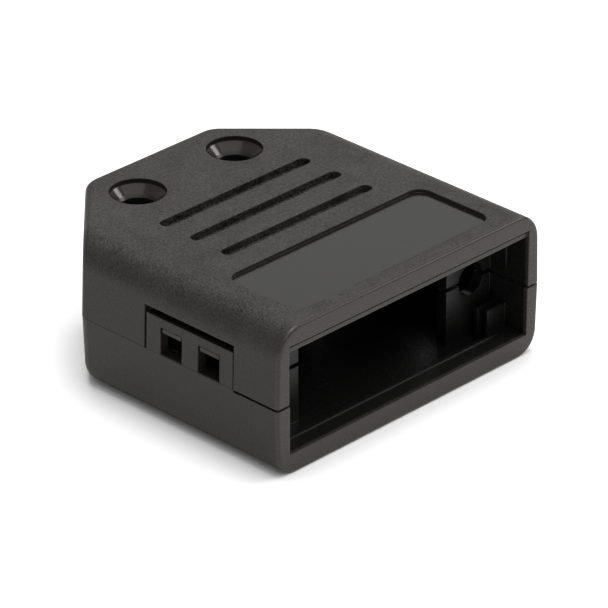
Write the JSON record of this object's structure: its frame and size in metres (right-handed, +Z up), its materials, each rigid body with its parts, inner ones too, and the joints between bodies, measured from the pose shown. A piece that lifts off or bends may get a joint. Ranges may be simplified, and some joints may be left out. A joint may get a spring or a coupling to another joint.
{
  "type": "d-sub connector hood",
  "caption": "Plastic D-sub hood of two half shells with side snap latches, countersunk screw holes, grip grooves, a bare label recess and an inner cable clamp.",
  "frame": {"origin": "under the middle of the body, on the plane that the bottom rests on", "axes": "-Y out of the mouth, +Z up through the label recess, X across the mouth"},
  "size_m": [0.0438, 0.0438, 0.0187],
  "materials": {
    "shell_plastic": "fine spark texture, smooth front rim",
    "clamp_steel": "plated",
    "screw_steel": "plated"
  },
  "bodies": {
    "root": {"upper_shell": "shell_plastic", "lower_shell": "shell_plastic", "cable_clamp": "clamp_steel", "clamp_screw_left": "screw_steel", "clamp_screw_right": "screw_steel"}
  },
  "joints": []
}
